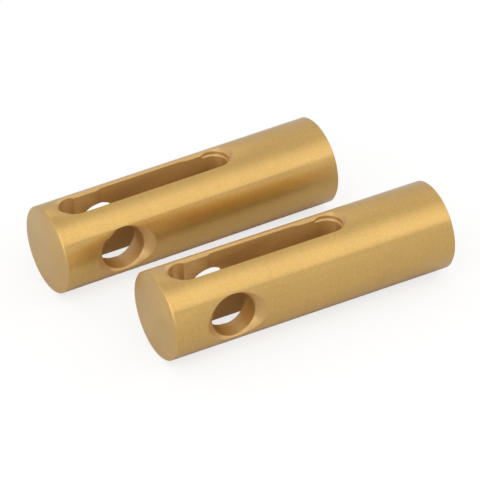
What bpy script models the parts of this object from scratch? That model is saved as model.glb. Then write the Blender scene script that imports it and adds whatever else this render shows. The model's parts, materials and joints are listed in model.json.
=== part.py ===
"""Pair of slotted barrels: two identical turned and milled bars of gold-anodised aluminium.

Each barrel is one machined piece. It is plain at its near end, has a large countersunk cross hole
and a long slot milled right through, and a tapped hole in its far end that runs into the slot.
The two barrels are loose, and lie side by side on a flat surface.

Units are metres and +Z is up. A barrel is made lying along +X, with the centre of its near end
face at the origin. The pair is then placed so that the middle of its footprint is at the world's
origin and both barrels rest on z = 0.
"""

from math import cos, pi, radians, sin, tan

import bmesh
import bpy

OBJECT_NAME = "slotted_barrel_pair"

# Bar
BAR_RADIUS = 0.0095
BAR_LENGTH = 0.065
END_BREAK = 0.00025

# Slot along the bar, open at the top and at the bottom. Its ends are round about these stations.
# Widths are half widths, and the chamfer goes deeper at the bottom.
SLOT_START = 0.0070
SLOT_END = 0.0400
SLOT_NECK = 0.0030
SLOT_WIDE = 0.0033
TOP_CHAMFER_DEPTH = 0.0010
BOTTOM_CHAMFER_DEPTH = 0.0014

# The slot's waist, where it is wider again between its two necks
WAIST_WIDE = 0.0032
WAIST_START = 0.01503
WAIST_END = 0.0336
WAIST_RUNOUT = 0.0042
WAIST_OVERRUN = 0.0001

# Shallow round seat at the slot's far end, above a 45 degree step down to the neck's width
SEAT_DEPTH = 0.0017

# Cross hole, at right angles to the slot, with a 45 degree countersink at each mouth
CROSS_HOLE_X = 0.0139
CROSS_HOLE_RADIUS = 0.00495
CROSS_SINK_DEPTH = 0.0019

# Tapped hole in the far end: M8, drawn at the middle of its thread
THREAD_RADIUS = 0.0037
THREAD_MOUTH_RADIUS = 0.0043
THREAD_FULL_TO = 0.0415
DRILL_TIP_ANGLE = radians(135)

# How the pair lies: the rear barrel's near end face, seen from the front barrel's
REAR_OFFSET_X = -0.00825
REAR_OFFSET_Y = 0.03317
REAR_TURN = radians(1.32)

# Smoothness of round shapes. A half circle has an odd number of steps, so no corner of a hole
# lies on the lines along the bar's top, bottom and sides, where the bar has corners of its own.
BAR_SEGMENTS = 96
HALF_ROUND_STEPS = 25
HOLE_SEGMENTS = 2 * HALF_ROUND_STEPS
RUNOUT_STEPS = 5

# How far a cutter runs past the surface that it cuts, and how close points are joined
CLEAR = 0.002
MERGE = 0.000001

GOLD = (0.60, 0.37, 0.115, 1.0)


def clear_scene():
    for old in list(bpy.data.objects):
        bpy.data.objects.remove(old, do_unlink=True)


def new_collection(name):
    collection = bpy.data.collections.new(name)
    bpy.context.scene.collection.children.link(collection)
    return collection


def gold_material(name):
    material = bpy.data.materials.new(name)
    material.use_nodes = True
    shader = material.node_tree.nodes["Principled BSDF"]
    shader.inputs["Base Color"].default_value = GOLD
    shader.inputs["Metallic"].default_value = 1.0
    shader.inputs["Roughness"].default_value = 0.42
    return material


# Outlines of the slot, seen from above


def half_round(centre_x, radius, start):
    """Points of half a circle about (centre_x, 0), counterclockwise from the start angle."""
    angles = [start + pi * i / HALF_ROUND_STEPS for i in range(HALF_ROUND_STEPS + 1)]
    return [(centre_x + radius * cos(a), radius * sin(a)) for a in angles]


def obround(radius):
    """A slot with round ends, from the slot's start to its end."""
    return half_round(SLOT_START, radius, pi / 2) + half_round(SLOT_END, radius, -pi / 2)


def waist():
    """The slot's wide middle: round at its near end, with flanks that ease out into the neck."""
    end_width = SLOT_NECK - WAIST_OVERRUN
    flank = []
    for i in range(RUNOUT_STEPS + 1):
        t = i / RUNOUT_STEPS
        half_width = end_width + (WAIST_WIDE - end_width) * (1 - t) ** 1.5
        flank.append((WAIST_END + WAIST_RUNOUT * t, half_width))
    other_flank = [(x, -y) for x, y in flank]
    return half_round(WAIST_START, WAIST_WIDE, pi / 2) + other_flank + flank[::-1]


# Solids


def turned(name, profile, segments):
    """Solid of revolution. The profile's (radius, height) points run from its top to its bottom."""
    mesh = bpy.data.meshes.new(name)
    edges = [(i, i + 1) for i in range(len(profile) - 1)]
    mesh.from_pydata([(radius, 0.0, height) for radius, height in profile], edges, [])
    solid = bpy.data.objects.new(name, mesh)
    screw = solid.modifiers.new("turn", "SCREW")
    screw.axis = "Z"
    screw.steps = segments
    screw.render_steps = segments
    screw.use_merge_vertices = True
    screw.merge_threshold = MERGE
    weld = solid.modifiers.new("join_at_axis", "WELD")
    weld.merge_threshold = MERGE
    return solid


def prism(name, outline, bottom, top):
    """Closed solid of a flat outline, between two heights."""
    curve = bpy.data.curves.new(name, "CURVE")
    curve.dimensions = "2D"
    curve.fill_mode = "BOTH"
    curve.extrude = (top - bottom) / 2
    spline = curve.splines.new("POLY")
    spline.points.add(len(outline) - 1)
    for point, (x, y) in zip(spline.points, outline):
        point.co = (x, y, 0.0, 1.0)
    spline.use_cyclic_u = True
    drawn = bpy.data.objects.new(name + "_outline", curve)
    drawn.location.z = (top + bottom) / 2
    bpy.context.scene.collection.objects.link(drawn)
    bpy.context.view_layer.update()
    evaluated = drawn.evaluated_get(bpy.context.evaluated_depsgraph_get())
    mesh = bpy.data.meshes.new_from_object(evaluated)
    solid = bpy.data.objects.new(name, mesh)
    solid.matrix_world = drawn.matrix_world
    bpy.data.objects.remove(drawn, do_unlink=True)
    shape = bmesh.new()
    shape.from_mesh(mesh)
    bmesh.ops.remove_doubles(shape, verts=shape.verts, dist=MERGE)
    bmesh.ops.dissolve_limit(
        shape, angle_limit=radians(1), verts=shape.verts, edges=shape.edges
    )
    shape.to_mesh(mesh)
    shape.free()
    return solid


def flared_obround(name, foot_radius, foot, rise):
    """Obround plug whose sides lean out at 45 degrees from its foot, up to foot + rise."""
    solid = prism(name, obround(foot_radius + rise), foot, foot + 2 * rise + CLEAR)
    bevel = solid.modifiers.new("lean", "BEVEL")
    bevel.limit_method = "ANGLE"
    bevel.angle_limit = radians(60)
    bevel.offset_type = "OFFSET"
    bevel.width = rise
    bevel.segments = 1
    bevel.use_clamp_overlap = False
    return solid


def turned_bar():
    """Solid bar along +X with a small 45 degree break round each end."""
    profile = [
        (0.0, BAR_LENGTH),
        (BAR_RADIUS - END_BREAK, BAR_LENGTH),
        (BAR_RADIUS, BAR_LENGTH - END_BREAK),
        (BAR_RADIUS, END_BREAK),
        (BAR_RADIUS - END_BREAK, 0.0),
        (0.0, 0.0),
    ]
    bar = turned("bar", profile, BAR_SEGMENTS)
    bar.rotation_euler.y = pi / 2
    return bar


def slot_side_cutters(name, side, chamfer_depth):
    """For the bar's top (side 1) or bottom (side -1): the slot's chamfer and its far seat."""
    step = SLOT_WIDE - SLOT_NECK
    foot_radius = SLOT_NECK - step
    foot = BAR_RADIUS - chamfer_depth - (SLOT_WIDE - foot_radius)
    chamfer = flared_obround("slot_chamfer_" + name, foot_radius, foot, BAR_RADIUS + step - foot)
    chamfer.location.z *= side
    seat_floor = BAR_RADIUS - SEAT_DEPTH
    seat_profile = [
        (0.0, BAR_RADIUS + CLEAR),
        (SLOT_WIDE, BAR_RADIUS + CLEAR),
        (SLOT_WIDE, seat_floor),
        (foot_radius, seat_floor - 2 * step),
        (0.0, seat_floor - 2 * step),
    ]
    if side < 0:
        seat_profile = [(radius, -height) for radius, height in reversed(seat_profile)]
    seat = turned("far_seat_" + name, seat_profile, HOLE_SEGMENTS)
    seat.location.x = SLOT_END
    seat.rotation_euler.z = pi / 2
    return [chamfer, seat]


def slot_cutters():
    reach = BAR_RADIUS + CLEAR
    near_profile = [(0.0, reach), (SLOT_WIDE, reach), (SLOT_WIDE, -reach), (0.0, -reach)]
    near_end = turned("slot_near_end", near_profile, HOLE_SEGMENTS)
    near_end.location.x = SLOT_START
    near_end.rotation_euler.z = pi / 2
    neck = prism("slot_neck", obround(SLOT_NECK), -reach, reach)
    through = [neck, prism("slot_waist", waist(), -reach, reach), near_end]
    top = slot_side_cutters("top", 1, TOP_CHAMFER_DEPTH)
    bottom = slot_side_cutters("bottom", -1, BOTTOM_CHAMFER_DEPTH)
    return through + top + bottom


def cross_hole_cutter():
    """Drill across the bar, flared at 45 degrees towards both of its mouths."""
    reach = BAR_RADIUS + CLEAR
    sink_foot = BAR_RADIUS - CROSS_SINK_DEPTH
    mouth_radius = CROSS_HOLE_RADIUS + reach - sink_foot
    profile = [
        (0.0, reach),
        (mouth_radius, reach),
        (CROSS_HOLE_RADIUS, sink_foot),
        (CROSS_HOLE_RADIUS, -sink_foot),
        (mouth_radius, -reach),
        (0.0, -reach),
    ]
    drill = turned("cross_hole", profile, HOLE_SEGMENTS)
    drill.location.x = CROSS_HOLE_X
    drill.rotation_euler = (pi / 2, pi / 2, 0.0)
    return drill


def tapped_hole_cutter():
    """Tap drill from the far end into the slot, with its pointed tip and a chamfered mouth."""
    mouth_foot = BAR_LENGTH - (THREAD_MOUTH_RADIUS - THREAD_RADIUS)
    tip = THREAD_FULL_TO - THREAD_RADIUS / tan(DRILL_TIP_ANGLE / 2)
    profile = [
        (0.0, BAR_LENGTH + CLEAR),
        (THREAD_MOUTH_RADIUS + CLEAR, BAR_LENGTH + CLEAR),
        (THREAD_RADIUS, mouth_foot),
        (THREAD_RADIUS, THREAD_FULL_TO),
        (0.0, tip),
    ]
    drill = turned("tapped_hole", profile, HOLE_SEGMENTS)
    drill.rotation_euler.y = pi / 2
    return drill


def machined_barrel_mesh(cutters):
    """The finished barrel: the turned bar with the slot and both holes cut from it."""
    bar = turned_bar()
    bpy.context.scene.collection.objects.link(bar)
    for tool in slot_cutters() + [cross_hole_cutter(), tapped_hole_cutter()]:
        cutters.objects.link(tool)
        tool.hide_render = True
        tool.display_type = "WIRE"
    cut = bar.modifiers.new("machining", "BOOLEAN")
    cut.operation = "DIFFERENCE"
    cut.solver = "EXACT"
    cut.operand_type = "COLLECTION"
    cut.collection = cutters
    weld = bar.modifiers.new("join_corners", "WELD")
    weld.merge_threshold = MERGE
    bpy.context.view_layer.update()
    evaluated = bar.evaluated_get(bpy.context.evaluated_depsgraph_get())
    mesh = bpy.data.meshes.new_from_object(evaluated)
    mesh.transform(bar.matrix_world)
    mesh.shade_smooth()
    mesh.set_sharp_from_angle(angle=radians(30))
    bpy.data.objects.remove(bar, do_unlink=True)
    return mesh


def pair_centre():
    """Middle of the pair's footprint, measured from the front barrel's near end face."""
    half = BAR_LENGTH / 2
    rear_x = REAR_OFFSET_X + half * cos(REAR_TURN)
    rear_y = REAR_OFFSET_Y + half * sin(REAR_TURN)
    rear_half_x = half * cos(REAR_TURN) + (BAR_RADIUS - END_BREAK) * sin(REAR_TURN)
    rear_half_y = (half - END_BREAK) * sin(REAR_TURN) + BAR_RADIUS * cos(REAR_TURN)
    low_x = min(0.0, rear_x - rear_half_x)
    high_x = max(BAR_LENGTH, rear_x + rear_half_x)
    low_y = min(-BAR_RADIUS, rear_y - rear_half_y)
    high_y = max(BAR_RADIUS, rear_y + rear_half_y)
    return (low_x + high_x) / 2, (low_y + high_y) / 2


def place_barrel(name, mesh, pair, location, turn):
    barrel = bpy.data.objects.new(name, mesh.copy())
    barrel.parent = pair
    barrel.location = location
    barrel.rotation_euler.z = turn
    barrel.data.materials.clear()
    barrel.data.materials.append(gold_material(name + "_gold_anodise"))
    return barrel


def build():
    clear_scene()
    parts = new_collection(OBJECT_NAME)
    cutters = new_collection("cutters")
    mesh = machined_barrel_mesh(cutters)

    centre_x, centre_y = pair_centre()
    pair = bpy.data.objects.new("pair_frame", None)
    pair.location = (-centre_x, -centre_y, BAR_RADIUS)
    parts.objects.link(pair)
    parts.objects.link(place_barrel("front_barrel", mesh, pair, (0.0, 0.0, 0.0), 0.0))
    rear_place = (REAR_OFFSET_X, REAR_OFFSET_Y, 0.0)
    parts.objects.link(place_barrel("rear_barrel", mesh, pair, rear_place, REAR_TURN))


build()
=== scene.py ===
"""The pair of slotted barrels, as it looks: gold-anodised aluminium on a pale table.

Each CAD barrel is replaced by a finely divided one of the same shape and size, with broken edges
and a real M8 thread. Barrels are made lying along +X, with the centre of their near end face at
the origin, in metres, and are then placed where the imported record's mounts say.
"""

import json
from math import cos, pi, radians, sin, tan

import bmesh
import bpy
from mathutils import Matrix, Quaternion, Vector

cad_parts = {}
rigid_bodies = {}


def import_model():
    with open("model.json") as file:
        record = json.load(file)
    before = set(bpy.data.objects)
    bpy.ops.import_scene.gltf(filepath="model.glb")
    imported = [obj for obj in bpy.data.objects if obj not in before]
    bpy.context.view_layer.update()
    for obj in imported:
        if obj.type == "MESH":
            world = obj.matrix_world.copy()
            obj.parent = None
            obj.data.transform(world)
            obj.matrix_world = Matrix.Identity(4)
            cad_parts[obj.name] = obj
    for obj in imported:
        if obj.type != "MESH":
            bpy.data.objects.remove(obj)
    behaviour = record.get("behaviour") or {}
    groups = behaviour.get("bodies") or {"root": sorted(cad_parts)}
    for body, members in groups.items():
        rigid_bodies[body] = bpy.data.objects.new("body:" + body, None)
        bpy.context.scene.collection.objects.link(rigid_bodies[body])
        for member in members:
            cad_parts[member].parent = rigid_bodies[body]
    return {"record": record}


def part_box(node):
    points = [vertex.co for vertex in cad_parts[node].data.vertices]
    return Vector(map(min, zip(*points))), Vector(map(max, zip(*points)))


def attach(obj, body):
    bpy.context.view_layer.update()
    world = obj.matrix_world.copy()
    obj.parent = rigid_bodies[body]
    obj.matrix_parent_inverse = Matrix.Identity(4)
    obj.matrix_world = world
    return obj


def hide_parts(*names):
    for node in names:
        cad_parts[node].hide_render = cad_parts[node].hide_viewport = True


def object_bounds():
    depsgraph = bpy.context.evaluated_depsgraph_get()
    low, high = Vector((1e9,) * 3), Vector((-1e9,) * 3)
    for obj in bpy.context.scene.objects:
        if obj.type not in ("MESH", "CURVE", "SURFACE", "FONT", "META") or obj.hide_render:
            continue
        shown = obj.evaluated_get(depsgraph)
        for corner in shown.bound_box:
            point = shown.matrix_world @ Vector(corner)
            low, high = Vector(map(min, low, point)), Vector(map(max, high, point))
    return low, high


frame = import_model()
cad_low, cad_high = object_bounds()

# The body that each CAD barrel rides on, and the record's mounts by name
BODIES = {"front_barrel": "front", "rear_barrel": "rear"}
MOUNTS = {mount["name"]: mount for mount in frame["record"]["mounts"]}

# Bar: its size is the CAD solid's
front_low, front_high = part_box("front_barrel")
BAR_RADIUS = (front_high.z - front_low.z) / 2
BAR_LENGTH = front_high.x - front_low.x
END_BREAK = 0.00025

# Slot along the bar, open at the top and at the bottom, where its chamfer is deeper
SLOT_START = 0.0070
SLOT_END = 0.0400
SLOT_NECK = 0.0030
SLOT_WIDE = 0.0033
TOP_CHAMFER_DEPTH = 0.0010
BOTTOM_CHAMFER_DEPTH = 0.0014
WAIST_WIDE = 0.0032
WAIST_START = 0.01503
WAIST_END = 0.0336
WAIST_RUNOUT = 0.0042
WAIST_OVERRUN = 0.0001
RUNOUT_CURVE = 1.5
SEAT_DEPTH = 0.0017

# Cross hole, with a 45 degree countersink at each mouth
CROSS_HOLE_X = 0.0139
CROSS_HOLE_RADIUS = 0.00495
CROSS_SINK_DEPTH = 0.0019

# M8 x 1.25 tapped hole in the far end
THREAD_PITCH = 0.00125
THREAD_MINOR_RADIUS = 0.00332
THREAD_MAJOR_RADIUS = 0.0040
THREAD_MOUTH_RADIUS = 0.0043
THREAD_FULL_TO = 0.0415
THREAD_FLANK_ANGLE = radians(30)
DRILL_TIP_ANGLE = radians(135)

# How finely round shapes are divided. A half round has an odd number of steps.
BAR_STEPS = 384
HALF_ROUND_STEPS = 61
THREAD_STEPS = 72
RUNOUT_STEPS = 16

# Every edge that turns by more than this angle is deburred by about this width. Past the slot, the
# edges this near to the axis are the thread's, and stay sharp.
EDGE_ANGLE = radians(24)
EDGE_WIDTH = 0.00006
EDGE_STEPS = 2
THREAD_EDGES_WITHIN = 0.0045

# How far a tool reaches past the bar, and how close two points are that count as one
CLEAR = 0.002
MERGE = 0.000001

# Dye: its deeper and paler shades, a little less yellow on the cut faces, and the stretch of the
# noise over which one turns into the other
BAR_SHADES = ((0.65, 0.385, 0.098, 1.0), (0.81, 0.515, 0.142, 1.0))
CUT_SHADES = ((0.65, 0.385, 0.124, 1.0), (0.81, 0.52, 0.18, 1.0))
SHADES_FROM = 0.30
SHADES_TO = 0.70

# Sizes of the dye's patches, of the etched grain and of the tool's marks
DYE_PATCH_SIZE = 0.012
ETCH_SIZE = 0.00038
FINE_MARK_PITCH = 0.00022
BROAD_MARK_PITCH = 0.0007
MARK_LENGTH = 0.005
NOISE_DETAIL = 2.0

# How much each of them counts in the dye's shade, and the grain in the relief beside the marks
DYE_IN_SHADE = 0.2
ETCH_IN_SHADE = 0.5
MARKS_IN_SHADE = 0.3
ETCH_IN_RELIEF = 0.8

# Gloss: how far the marks change the roughness, how much they stretch a highlight, and the clear,
# sealed layer over the dye
ROUGHNESS_SPREAD = 0.16
STRETCH = 0.8
COAT_WEIGHT = 0.8
COAT_ROUGHNESS = 0.30
COAT_IOR = 1.55

# Each kind of face: the axis that its tool marks run across, which is None on turned faces, its
# shades, how metallic and how rough it is, and the height of its relief
FINISHES = {
    "turned_gold": (None, BAR_SHADES, 0.76, 0.34, 0.0000014),
    "milled_gold": ((0.0, 0.0, 1.0), CUT_SHADES, 0.72, 0.42, 0.000002),
    "bored_gold": ((0.0, 1.0, 0.0), CUT_SHADES, 0.72, 0.36, 0.0000014),
    "edge_gold": (None, BAR_SHADES, 0.80, 0.30, 0.0000006),
}

# Light: an even pale surround and some large soft boxes. Each has its azimuth and elevation in
# degrees, its width and height, and the radiance that it adds to the surround's.
WORLD_LIGHT = 0.60
SOFT_BOX_DISTANCE = 0.6
SOFT_BOXES = {
    "key": (274, 50, 1.00, 0.38, 0.60),
    "top": (274, 74, 1.00, 0.16, 0.30),
    "right": (340, 24, 0.40, 0.30, 0.70),
    "back_right": (15, 26, 0.40, 0.30, 0.50),
    "left": (163, 9, 0.45, 0.20, 0.80),
    "front_left": (201, 17, 0.50, 0.36, 0.95),
    "top_left": (205, 58, 0.30, 0.30, 0.75),
    "back": (100, 50, 0.40, 0.30, 0.45),
    "front": (277, 12, 0.60, 0.22, 0.20),
}

# Table: its paint as it lights the barrels, and its shade and glow as the camera sees it
TABLE_SIZE = 6.0
TABLE_PAINT = (0.7, 0.7, 0.7, 1.0)
TABLE_ROUGHNESS = 0.6
TABLE_SHADE = (0.3, 0.3, 0.3, 1.0)
TABLE_GLOW = 0.74

# Camera: where it stands, where it looks, and how far it is turned about its line of sight
CAMERA_EYE = (-0.2924, -0.5734, 0.4349)
CAMERA_AIM = (-0.0004, -0.0017, 0.0095)
CAMERA_ROLL = radians(-2.4)
LENS_SENSOR = 36.0
LENS_LENGTH = 277.9
LENS_NEAR = 0.05


# Shapes


def half_round(centre_x, radius, start):
    """Points of half a circle about (centre_x, 0), counterclockwise from the start angle."""
    angles = [start + pi * i / HALF_ROUND_STEPS for i in range(HALF_ROUND_STEPS + 1)]
    return [(centre_x + radius * cos(a), radius * sin(a)) for a in angles]


def obround(radius):
    """A slot with round ends, from the slot's start to its end."""
    return half_round(SLOT_START, radius, pi / 2) + half_round(SLOT_END, radius, -pi / 2)


def waist():
    """The slot's wide middle: round at its near end, with flanks that ease out into the neck."""
    end_width = SLOT_NECK - WAIST_OVERRUN
    flank = []
    for i in range(RUNOUT_STEPS + 1):
        t = i / RUNOUT_STEPS
        half_width = end_width + (WAIST_WIDE - end_width) * (1 - t) ** RUNOUT_CURVE
        flank.append((WAIST_END + WAIST_RUNOUT * t, half_width))
    other_flank = [(x, -y) for x, y in flank]
    return half_round(WAIST_START, WAIST_WIDE, pi / 2) + other_flank + flank[::-1]


def solid_from(name, shape):
    """Object of a closed shape, with its doubled points joined and its faces turned outwards."""
    bmesh.ops.remove_doubles(shape, verts=shape.verts, dist=MERGE)
    bmesh.ops.recalc_face_normals(shape, faces=shape.faces)
    mesh = bpy.data.meshes.new(name)
    shape.to_mesh(mesh)
    shape.free()
    return bpy.data.objects.new(name, mesh)


def loft(name, rings):
    """Closed solid through rings of points, each with the same number of points, flat at both ends."""
    shape = bmesh.new()
    rows = [[shape.verts.new(point) for point in ring] for ring in rings]
    for row, next_row in zip(rows, rows[1:]):
        for i in range(len(row)):
            shape.faces.new((row[i - 1], row[i], next_row[i], next_row[i - 1]))
    shape.faces.new(rows[0])
    shape.faces.new(rows[-1])
    return solid_from(name, shape)


def prism(name, outlines):
    """Solid through (outline, height) pairs that go up along +Z."""
    return loft(name, [[(x, y, height) for x, y in outline] for outline, height in outlines])


def turned(name, profile, steps):
    """Solid of revolution about +X, through (radius, x) pairs."""
    angles = [2 * pi * i / steps for i in range(steps)]
    rings = [[(x, radius * cos(a), radius * sin(a)) for a in angles] for radius, x in profile]
    return loft(name, rings)


def screw_tap():
    """The thread's own shape as a tap, ending in a drill's cone inside and past the bar outside."""
    flank = (THREAD_MAJOR_RADIUS - THREAD_MINOR_RADIUS) * tan(THREAD_FLANK_ANGLE)
    crest = THREAD_PITCH / 8
    profile = [
        (THREAD_MINOR_RADIUS, 0.0),
        (THREAD_MAJOR_RADIUS, flank),
        (THREAD_MAJOR_RADIUS, flank + crest),
        (THREAD_MINOR_RADIUS, 2 * flank + crest),
    ]
    turns = int((BAR_LENGTH - THREAD_FULL_TO + CLEAR) / THREAD_PITCH) + 1
    shape = bmesh.new()
    rows = []
    for i in range(turns * THREAD_STEPS + 1):
        angle = 2 * pi * i / THREAD_STEPS
        start = THREAD_FULL_TO + THREAD_PITCH * i / THREAD_STEPS
        row = [(start + x, r * cos(angle), r * sin(angle)) for r, x in profile]
        rows.append([shape.verts.new(point) for point in row])

    # The thread's ridge, then the core between its turns, then a cone at each end
    for row, next_row in zip(rows, rows[1:]):
        for k in range(len(profile) - 1):
            shape.faces.new((row[k], next_row[k], next_row[k + 1], row[k + 1]))
    for i in range(len(rows) - THREAD_STEPS - 1):
        above, next_above = rows[i + THREAD_STEPS][0], rows[i + THREAD_STEPS + 1][0]
        shape.faces.new((rows[i][-1], rows[i + 1][-1], next_above, above))
    first_turn = [row[0] for row in rows[: THREAD_STEPS + 1]] + rows[0][:0:-1]
    last_turn = [row[-1] for row in rows[-THREAD_STEPS - 1 :]] + rows[-1][-2::-1]
    tip = THREAD_FULL_TO - THREAD_MINOR_RADIUS / tan(DRILL_TIP_ANGLE / 2)
    for loop, apex_x in ((first_turn, tip), (last_turn, BAR_LENGTH + 2 * CLEAR)):
        apex = shape.verts.new((apex_x, 0.0, 0.0))
        for i in range(len(loop)):
            shape.faces.new((loop[i - 1], loop[i], apex))
    return solid_from("tap", shape)


def turned_bar():
    profile = [
        (BAR_RADIUS - END_BREAK, 0.0),
        (BAR_RADIUS, END_BREAK),
        (BAR_RADIUS, BAR_LENGTH - END_BREAK),
        (BAR_RADIUS - END_BREAK, BAR_LENGTH),
    ]
    return turned("bar", profile, BAR_STEPS)


def slot_side_tools(side, chamfer_depth):
    """Tools for the slot's chamfer and far seat, at the bar's top (side 1) or bottom (side -1)."""
    step = SLOT_WIDE - SLOT_NECK
    foot_radius = SLOT_NECK - step
    outside = BAR_RADIUS + CLEAR
    foot = BAR_RADIUS - chamfer_depth - (SLOT_WIDE - foot_radius)
    lip_radius = foot_radius + outside - foot
    chamfer = prism("slot_chamfer", [(obround(foot_radius), foot), (obround(lip_radius), outside)])
    seat_floor = BAR_RADIUS - SEAT_DEPTH
    seat_rings = [(foot_radius, seat_floor - 2 * step), (SLOT_WIDE, seat_floor), (SLOT_WIDE, outside)]
    seat = turned("far_seat", seat_rings, 2 * HALF_ROUND_STEPS)
    seat.data.transform(Matrix.Rotation(-pi / 2, 4, "Y"))
    seat.location.x = SLOT_END
    for tool in (chamfer, seat):
        tool.scale.z = side
    return [chamfer, seat]


def slot_tools():
    """Tools for the slot at its necks' width, its wider waist and near end, and its two sides."""
    outside = BAR_RADIUS + CLEAR
    near_half = half_round(SLOT_START, SLOT_WIDE, pi / 2)[:-1]
    near_round = near_half + half_round(SLOT_START, SLOT_WIDE, -pi / 2)[:-1]
    outlines = {"slot_neck": obround(SLOT_NECK), "slot_waist": waist(), "slot_near_end": near_round}
    through = [
        prism(name, [(outline, -outside), (outline, outside)]) for name, outline in outlines.items()
    ]
    top = slot_side_tools(1, TOP_CHAMFER_DEPTH)
    bottom = slot_side_tools(-1, BOTTOM_CHAMFER_DEPTH)
    return through + top + bottom


def cross_hole_tool():
    """Drill through the bar along Y, with a countersink at each mouth."""
    outside = BAR_RADIUS + CLEAR
    sink_foot = BAR_RADIUS - CROSS_SINK_DEPTH
    mouth_radius = CROSS_HOLE_RADIUS + outside - sink_foot
    profile = [
        (mouth_radius, -outside),
        (CROSS_HOLE_RADIUS, -sink_foot),
        (CROSS_HOLE_RADIUS, sink_foot),
        (mouth_radius, outside),
    ]
    drill = turned("cross_hole", profile, 2 * HALF_ROUND_STEPS)
    drill.data.transform(Matrix.Rotation(pi / 2, 4, "Z"))
    drill.location.x = CROSS_HOLE_X
    return drill


def mouth_tool():
    """Countersink at the thread's mouth."""
    depth = THREAD_MOUTH_RADIUS - THREAD_MINOR_RADIUS
    profile = [
        (THREAD_MINOR_RADIUS, BAR_LENGTH - depth),
        (THREAD_MOUTH_RADIUS + CLEAR, BAR_LENGTH + CLEAR),
    ]
    return turned("thread_mouth", profile, 2 * HALF_ROUND_STEPS)


def break_edges(mesh, finish_index):
    """Deburrs every machined edge but the thread's. The narrow new faces get their own finish."""
    shape = bmesh.new()
    shape.from_mesh(mesh)
    edges = []
    for edge in shape.edges:
        middle = (edge.verts[0].co + edge.verts[1].co) / 2
        in_thread = middle.x > SLOT_END and middle.yz.length < THREAD_EDGES_WITHIN
        if edge.is_manifold and edge.calc_face_angle() > EDGE_ANGLE and not in_thread:
            edges.append(edge)
    bmesh.ops.bevel(
        shape, geom=edges, offset=EDGE_WIDTH, segments=EDGE_STEPS, profile=0.5,
        affect="EDGES", clamp_overlap=True, material=finish_index,
    )
    shape.to_mesh(mesh)
    shape.free()


def barrel_mesh():
    """The finished barrel: the turned bar with the slot and both holes cut from it."""
    gold = {name: gold_anodise(name, *look) for name, look in FINISHES.items()}
    cuts = [(tool, "milled_gold") for tool in slot_tools()]
    cuts.append((cross_hole_tool(), "bored_gold"))
    cuts.append((screw_tap(), "turned_gold"))
    cuts.append((mouth_tool(), "turned_gold"))
    tools = bpy.data.collections.new("tools")
    for tool, finish in cuts:
        tool.data.materials.append(gold[finish])
        tools.objects.link(tool)
    bar = turned_bar()
    bar.data.materials.append(gold["turned_gold"])
    bpy.context.scene.collection.objects.link(bar)
    cut = bar.modifiers.new("machining", "BOOLEAN")
    cut.operation = "DIFFERENCE"
    cut.solver = "EXACT"
    cut.operand_type = "COLLECTION"
    cut.collection = tools
    cut.material_mode = "TRANSFER"
    weld = bar.modifiers.new("join_corners", "WELD")
    weld.merge_threshold = MERGE
    bpy.context.view_layer.update()
    depsgraph = bpy.context.evaluated_depsgraph_get()
    mesh = bpy.data.meshes.new_from_object(bar.evaluated_get(depsgraph))
    for used in [bar, *tools.objects]:
        bpy.data.objects.remove(used, do_unlink=True)
    bpy.data.collections.remove(tools)
    mesh.materials.append(gold["edge_gold"])
    break_edges(mesh, len(mesh.materials) - 1)
    mesh.shade_smooth()
    mesh.set_sharp_from_angle(angle=EDGE_ANGLE)
    return mesh


def place_barrel(cad_node, mesh):
    """Puts a barrel where the record's mount on its near end face says."""
    near = MOUNTS[cad_node.replace("_barrel", "_near_face")]
    along = -Vector(near["axis"]).normalized()
    up = Vector((0.0, 0.0, 1.0))
    turn = Matrix((along, up.cross(along), up)).transposed().to_4x4()
    barrel = bpy.data.objects.new(cad_node + "_finished", mesh)
    bpy.context.scene.collection.objects.link(barrel)
    barrel.matrix_world = Matrix.Translation(near["pos_m"]) @ turn
    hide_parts(cad_node)
    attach(barrel, BODIES[cad_node])


# Finish


def add_node(tree, kind, values=None, **settings):
    """Shader node. Values go to its inputs by name or number: a socket is linked, the rest are set."""
    made = tree.nodes.new("ShaderNode" + kind)
    for name, setting in settings.items():
        setattr(made, name, setting)
    for key, value in (values or {}).items():
        if isinstance(value, bpy.types.NodeSocket):
            tree.links.new(value, made.inputs[key])
        else:
            made.inputs[key].default_value = value
    return made


def vectors(tree, operation, *values):
    """Result of a Vector Math node, whose values are sockets or constants."""
    return add_node(tree, "VectorMath", dict(enumerate(values)), operation=operation).outputs[0]


def numbers(tree, operation, *values):
    """Result of a Math node, whose values are sockets or constants."""
    return add_node(tree, "Math", dict(enumerate(values)), operation=operation).outputs[0]


def across_marks(tree, place, lay):
    """World direction across the tool's marks: along lay or, on a turned face, along its profile."""
    if lay is None:
        normal = tree.nodes.new("ShaderNodeNewGeometry").outputs["Normal"]
        to_local = {"vector_type": "NORMAL", "convert_from": "WORLD", "convert_to": "OBJECT"}
        normal = add_node(tree, "VectorTransform", {0: normal}, **to_local).outputs[0]
        around = vectors(tree, "CROSS_PRODUCT", (1.0, 0.0, 0.0), place)
        across = vectors(tree, "CROSS_PRODUCT", around, normal)
    else:
        across = add_node(tree, "CombineXYZ", dict(enumerate(lay))).outputs[0]
    to_world = {"vector_type": "VECTOR", "convert_from": "OBJECT", "convert_to": "WORLD"}
    across = add_node(tree, "VectorTransform", {0: across}, **to_world).outputs[0]
    return vectors(tree, "NORMALIZE", across)


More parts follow.
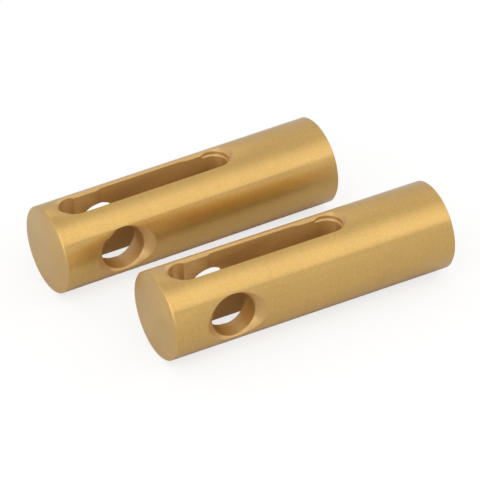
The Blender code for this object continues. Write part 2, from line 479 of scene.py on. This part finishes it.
def tool_marks(tree, place, shift, lay, pitch):
    """Noise drawn out into thin streaks along the tool's marks, about a pitch apart."""
    across = Vector(lay or (1.0, 0.0, 0.0))
    along = Vector((1.0, 1.0, 1.0)) - across
    scale = across / pitch + along / MARK_LENGTH
    streaks = vectors(tree, "MULTIPLY_ADD", place, scale, shift)
    values = {"Vector": streaks, "Scale": 1.0, "Detail": NOISE_DETAIL, "W": 0.0}
    if lay is None:
        from_axis = vectors(tree, "MULTIPLY", place, (0.0, 1.0, 1.0))
        radius = add_node(tree, "VectorMath", {0: from_axis}, operation="LENGTH").outputs["Value"]
        values["W"] = numbers(tree, "DIVIDE", radius, pitch)
    return add_node(tree, "TexNoise", values, noise_dimensions="4D").outputs[0]


def grain(tree, place, shift, size):
    """Noise with patches of one size, alike in every direction."""
    spread = vectors(tree, "MULTIPLY_ADD", place, (1 / size,) * 3, shift)
    values = {"Vector": spread, "Scale": 1.0, "Detail": NOISE_DETAIL}
    return add_node(tree, "TexNoise", values).outputs[0]


def gold_anodise(name, lay, shades, metal, roughness, relief):
    """Dyed, anodised aluminium over the marks of the tool that cut it, which run across lay."""
    material = bpy.data.materials.new(name)
    material.use_nodes = True
    tree = material.node_tree
    shader = tree.nodes["Principled BSDF"]
    place = tree.nodes.new("ShaderNodeTexCoord").outputs["Object"]
    location = tree.nodes.new("ShaderNodeObjectInfo").outputs["Location"]
    shift = vectors(tree, "MULTIPLY", location, (1 / ETCH_SIZE,) * 3)
    fine = tool_marks(tree, place, shift, lay, FINE_MARK_PITCH)
    broad = tool_marks(tree, place, shift, lay, BROAD_MARK_PITCH)
    etch = grain(tree, place, shift, ETCH_SIZE)
    dye = grain(tree, place, shift, DYE_PATCH_SIZE)

    marks = numbers(tree, "MULTIPLY_ADD", broad, 0.5, numbers(tree, "MULTIPLY", fine, 0.5))
    shaded_marks = numbers(tree, "MULTIPLY", marks, MARKS_IN_SHADE)
    speckle = numbers(tree, "MULTIPLY_ADD", etch, ETCH_IN_SHADE, shaded_marks)
    shade = numbers(tree, "MULTIPLY_ADD", dye, DYE_IN_SHADE, speckle)
    colour = add_node(tree, "ValToRGB", {"Fac": shade})
    ends = zip(colour.color_ramp.elements, (SHADES_FROM, SHADES_TO), shades)
    for element, position, end_colour in ends:
        element.position = position
        element.color = end_colour
    smoothest = roughness - ROUGHNESS_SPREAD / 2
    uneven = numbers(tree, "MULTIPLY_ADD", marks, ROUGHNESS_SPREAD, smoothest)
    height = numbers(tree, "MULTIPLY_ADD", etch, ETCH_IN_RELIEF, marks)
    bump = add_node(tree, "Bump", {"Strength": 1.0, "Distance": relief, "Height": height})

    tree.links.new(colour.outputs["Color"], shader.inputs["Base Color"])
    tree.links.new(uneven, shader.inputs["Roughness"])
    tree.links.new(bump.outputs["Normal"], shader.inputs["Normal"])
    tree.links.new(bump.outputs["Normal"], shader.inputs["Coat Normal"])
    tree.links.new(across_marks(tree, place, lay), shader.inputs["Tangent"])
    shader.inputs["Metallic"].default_value = metal
    shader.inputs["Anisotropic"].default_value = STRETCH
    shader.inputs["Coat Weight"].default_value = COAT_WEIGHT
    shader.inputs["Coat Roughness"].default_value = COAT_ROUGHNESS
    shader.inputs["Coat IOR"].default_value = COAT_IOR
    return material


# Table, light and camera


def pale_table():
    """White table. Its glow shows only to the camera, so that shadows look faint on it."""
    bpy.ops.mesh.primitive_plane_add(size=TABLE_SIZE, location=(0.0, 0.0, cad_low.z))
    table = bpy.context.object
    table.name = "table"
    paint = bpy.data.materials.new("table_paint")
    paint.use_nodes = True
    tree = paint.node_tree
    lit = tree.nodes["Principled BSDF"]
    lit.inputs["Base Color"].default_value = TABLE_PAINT
    lit.inputs["Roughness"].default_value = TABLE_ROUGHNESS
    matt = add_node(tree, "BsdfDiffuse", {"Color": TABLE_SHADE})
    glow = add_node(tree, "Emission", {"Strength": TABLE_GLOW})
    seen = add_node(tree, "AddShader", {0: matt.outputs[0], 1: glow.outputs[0]})
    to_camera = tree.nodes.new("ShaderNodeLightPath").outputs["Is Camera Ray"]
    mixed = add_node(tree, "MixShader", {0: to_camera, 1: lit.outputs[0], 2: seen.outputs[0]})
    tree.links.new(mixed.outputs[0], tree.nodes["Material Output"].inputs["Surface"])
    table.data.materials.append(paint)


def soft_box(name, azimuth, elevation, width, height, radiance):
    """Area light that faces the pair, in a direction given in degrees round from +X and up.

    An area light's radiance is its power divided by pi and by its area.
    """
    around, up = radians(azimuth), radians(elevation)
    away = Vector((cos(around) * cos(up), sin(around) * cos(up), sin(up)))
    lamp = bpy.data.lights.new(name, "AREA")
    lamp.shape = "RECTANGLE"
    lamp.size = width
    lamp.size_y = height
    lamp.energy = radiance * pi * width * height
    light = bpy.data.objects.new(name, lamp)
    bpy.context.scene.collection.objects.link(light)
    light.location = away * SOFT_BOX_DISTANCE
    light.rotation_euler = away.to_track_quat("Z", "Y").to_euler()


def studio():
    """The pale surround, with the soft boxes in it."""
    world = bpy.data.worlds.new("studio")
    world.use_nodes = True
    backdrop = world.node_tree.nodes["Background"]
    backdrop.inputs["Color"].default_value = (1.0, 1.0, 1.0, 1.0)
    backdrop.inputs["Strength"].default_value = WORLD_LIGHT
    bpy.context.scene.world = world
    for name, place in SOFT_BOXES.items():
        soft_box(name, *place)


def camera():
    """Looks down on the pair from the left of its near ends, with a long lens."""
    lens = bpy.data.cameras.new("camera")
    lens.sensor_width = LENS_SENSOR
    lens.lens = LENS_LENGTH
    lens.clip_start = LENS_NEAR
    eye = bpy.data.objects.new("camera", lens)
    bpy.context.scene.collection.objects.link(eye)
    eye.location = CAMERA_EYE
    look = Vector(CAMERA_AIM) - Vector(CAMERA_EYE)
    level = look.to_track_quat("-Z", "Y")
    eye.rotation_euler = (level @ Quaternion((0.0, 0.0, 1.0), CAMERA_ROLL)).to_euler()
    bpy.context.scene.camera = eye


camera()
finished_mesh = barrel_mesh()
for cad_node in BODIES:
    place_barrel(cad_node, finished_mesh.copy())
pale_table()
studio()
bpy.context.scene.view_settings.view_transform = "Standard"
